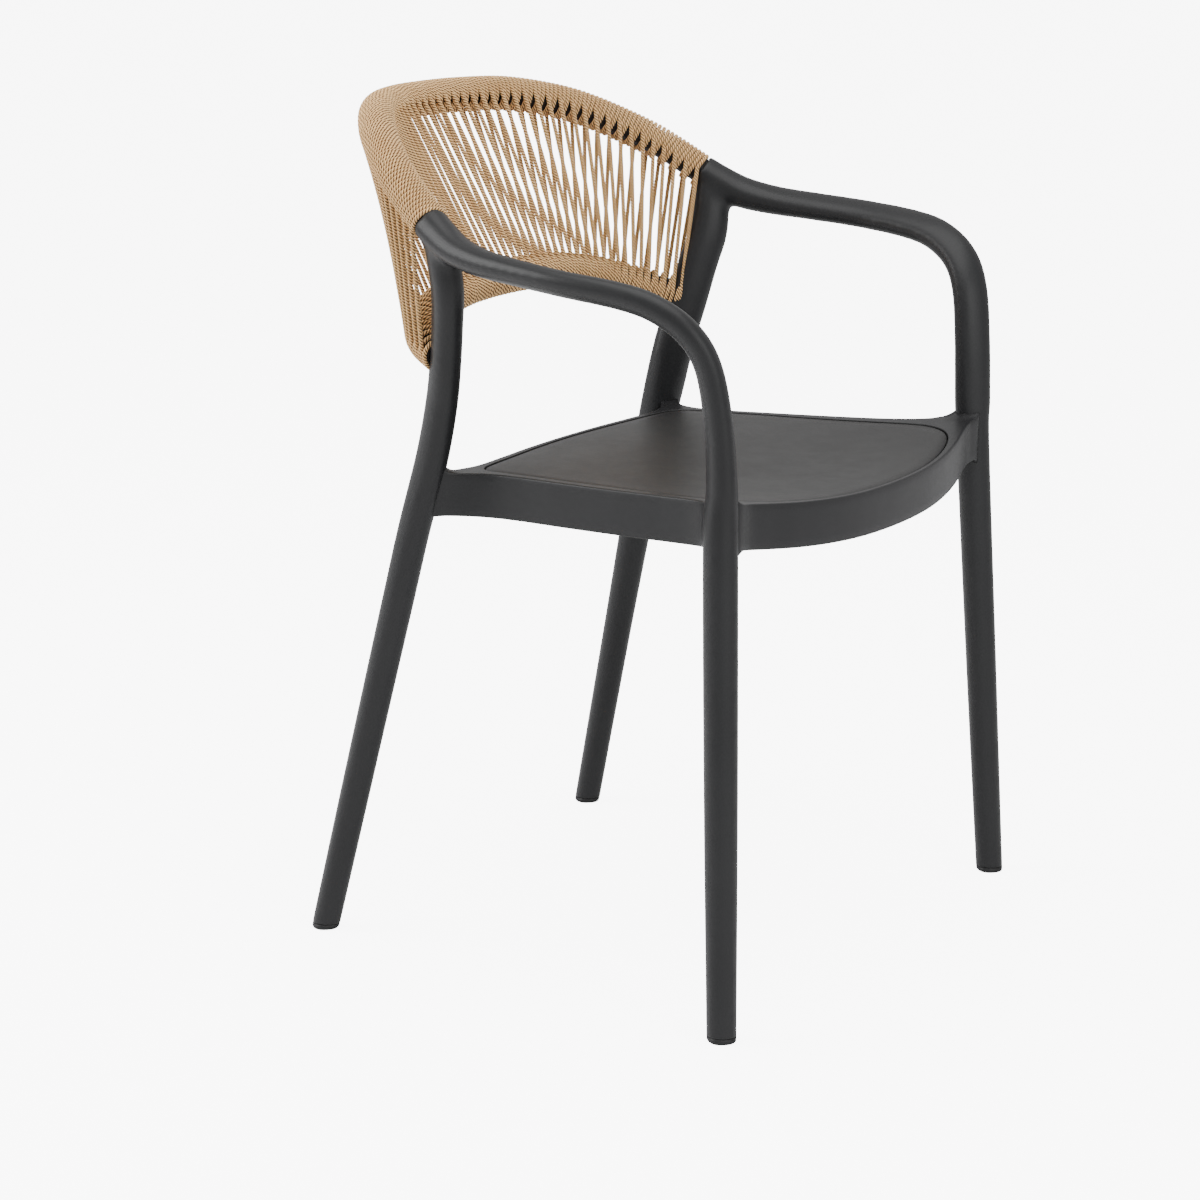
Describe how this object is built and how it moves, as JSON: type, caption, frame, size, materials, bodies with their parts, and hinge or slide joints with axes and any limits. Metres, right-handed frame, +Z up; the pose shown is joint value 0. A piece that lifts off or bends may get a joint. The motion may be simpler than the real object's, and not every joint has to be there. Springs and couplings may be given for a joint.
{
  "type": "stacking armchair",
  "caption": "Stacking armchair with moulded leg-and-arm side frames, an inset seat panel and a bowl-shaped back of two rails bound with twisted rope.",
  "frame": {"origin": "on the floor, in the middle of the chair's width and depth", "axes": "+Z up, the sitter faces -Y, +X is the left side of a seated person"},
  "size_m": [0.583, 0.5328, 0.763],
  "materials": {
    "frame_plastic": "satin charcoal moulded plastic with a fine grain",
    "panel_plastic": "matte charcoal moulded plastic, slightly rougher than the frame",
    "rope": "three-strand twisted rope, honey tan, fibrous",
    "glide_nylon": "plain black nylon",
    "fastener_steel": "zinc-plated steel"
  },
  "bodies": {
    "root": {"side_frame_left": "frame_plastic", "side_frame_right": "frame_plastic", "seat_frame": "frame_plastic", "top_rail": "frame_plastic", "lower_rail": "frame_plastic", "seat_panel": "panel_plastic", "rope_binding": "rope", "foot_glide_front_left": "glide_nylon", "foot_glide_front_right": "glide_nylon", "foot_glide_rear_left": "glide_nylon", "foot_glide_rear_right": "glide_nylon", "seat_bolt_front_upper_left": "fastener_steel", "seat_bolt_front_upper_right": "fastener_steel", "seat_bolt_front_lower_left": "fastener_steel", "seat_bolt_front_lower_right": "fastener_steel", "seat_bolt_rear_upper_left": "fastener_steel", "seat_bolt_rear_upper_right": "fastener_steel", "seat_bolt_rear_lower_left": "fastener_steel", "seat_bolt_rear_lower_right": "fastener_steel", "panel_screw_1": "fastener_steel", "panel_screw_2": "fastener_steel", "panel_screw_3": "fastener_steel", "panel_screw_4": "fastener_steel", "panel_screw_5": "fastener_steel", "panel_screw_6": "fastener_steel", "panel_screw_7": "fastener_steel", "panel_screw_8": "fastener_steel"}
  },
  "joints": []
}
